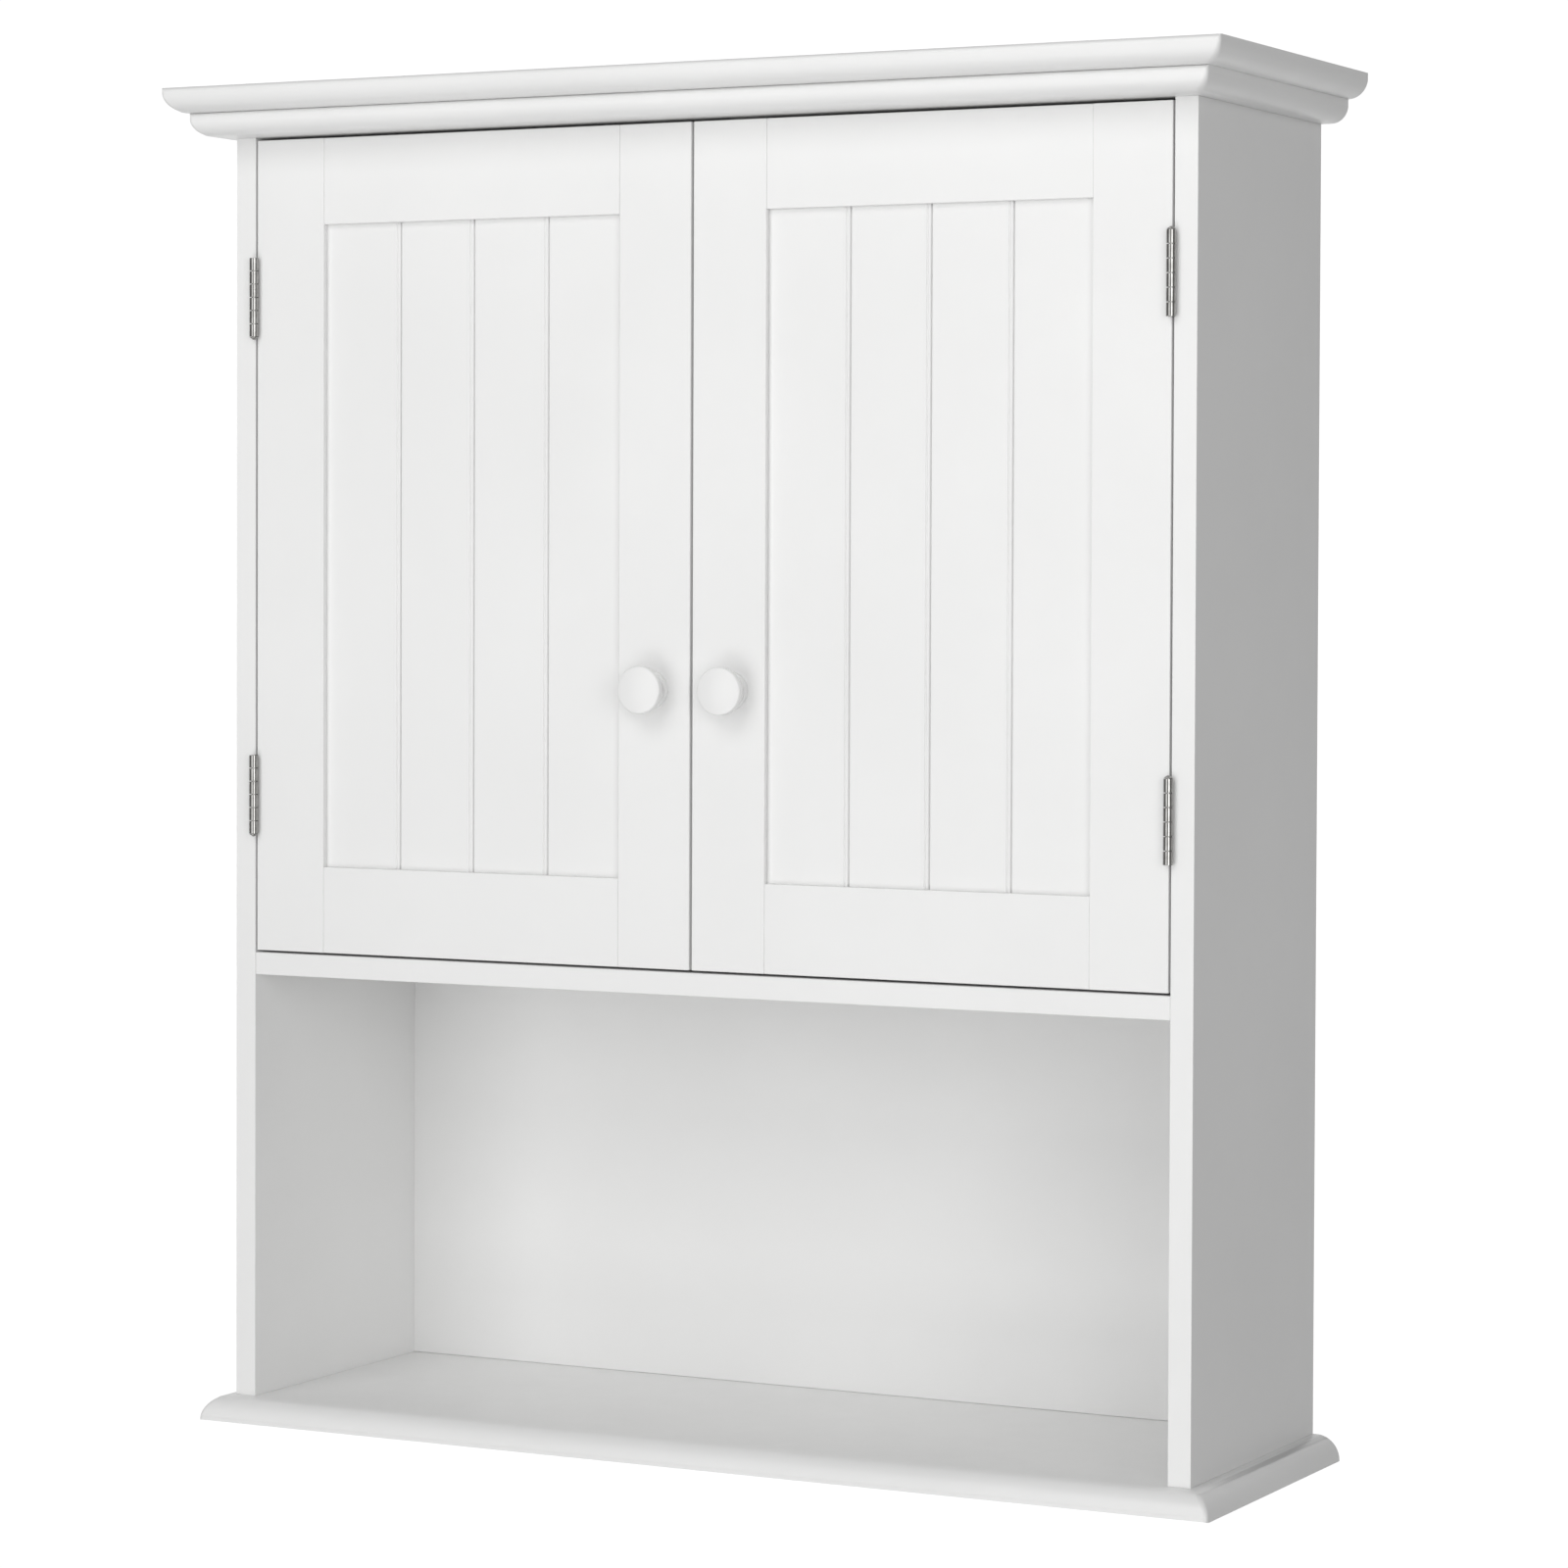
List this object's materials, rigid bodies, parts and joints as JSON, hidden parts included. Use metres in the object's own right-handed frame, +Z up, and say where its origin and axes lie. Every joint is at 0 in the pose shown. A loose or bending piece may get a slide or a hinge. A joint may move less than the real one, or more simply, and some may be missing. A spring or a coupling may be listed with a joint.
{
  "type": "hanging wall cabinet",
  "caption": "White painted wall cabinet with a pair of beaded inset doors over an open shelf, and a stepped crown.",
  "frame": {"origin": "on the wall plane, midway between the two wall screw holes of the hanging rail", "axes": "+Z up, +X to the right seen from the front, +Y into the wall"},
  "size_m": [0.6, 0.2, 0.708],
  "materials": {
    "white_paint": "satin white paint on fibreboard",
    "knob_paint": "satin white paint on turned wood",
    "beech": "bare beech",
    "nickel": "bright nickel plate",
    "zinc_steel": "zinc plate",
    "white_plastic": "moulded white plastic",
    "magnet": "sintered ferrite"
  },
  "bodies": {
    "cabinet": {"back_panel": "white_paint", "back_panel_nails": "zinc_steel", "base_board": "white_paint", "base_screws": "zinc_steel", "catch_screws": "zinc_steel", "crown_joining_screws": "zinc_steel", "crown_lower_board": "white_paint", "crown_screws": "zinc_steel", "crown_top_board": "white_paint", "dowels": "beech", "hanging_rail": "white_paint", "left_catch_housing": "white_plastic", "left_catch_magnet": "magnet", "left_frame_hinge_screws": "nickel", "left_hinge_pins": "nickel", "left_side_panel": "white_paint", "lower_left_frame_leaf": "nickel", "lower_right_frame_leaf": "nickel", "middle_shelf": "white_paint", "right_catch_housing": "white_plastic", "right_catch_magnet": "magnet", "right_frame_hinge_screws": "nickel", "right_hinge_pins": "nickel", "right_side_panel": "white_paint", "shelf_cam_bolts": "zinc_steel", "shelf_cam_locks": "zinc_steel", "shelf_pins": "nickel", "upper_left_frame_leaf": "nickel", "upper_right_frame_leaf": "nickel"},
    "left_door": {"left_bead_panel": "white_paint", "left_bottom_rail": "white_paint", "left_door_hinge_screws": "nickel", "left_inner_stile": "white_paint", "left_knob": "knob_paint", "left_knob_screw": "zinc_steel", "left_outer_stile": "white_paint", "left_strike_plate": "zinc_steel", "left_strike_screw": "zinc_steel", "left_top_rail": "white_paint", "lower_left_door_leaf": "nickel", "upper_left_door_leaf": "nickel"},
    "right_door": {"lower_right_door_leaf": "nickel", "right_bead_panel": "white_paint", "right_bottom_rail": "white_paint", "right_door_hinge_screws": "nickel", "right_inner_stile": "white_paint", "right_knob": "knob_paint", "right_knob_screw": "zinc_steel", "right_outer_stile": "white_paint", "right_strike_plate": "zinc_steel", "right_strike_screw": "zinc_steel", "right_top_rail": "white_paint", "upper_right_door_leaf": "nickel"},
    "adjustable_shelf": {"adjustable_shelf": "white_paint"}
  },
  "joints": [
    {"name": "left_door_hinge", "type": "hinge", "parent": "cabinet", "child": "left_door", "pos_m": [-0.2624, -0.1676, -0.19], "axis": [0, 0, -1], "range_deg": [0, 180]},
    {"name": "right_door_hinge", "type": "hinge", "parent": "cabinet", "child": "right_door", "pos_m": [0.2624, -0.1676, -0.19], "axis": [0, 0, 1], "range_deg": [0, 180]},
    {"name": "shelf_lift", "type": "slide", "parent": "cabinet", "child": "adjustable_shelf", "axis": [0, 0, 1], "range_m": [0, 0.02]}
  ]
}
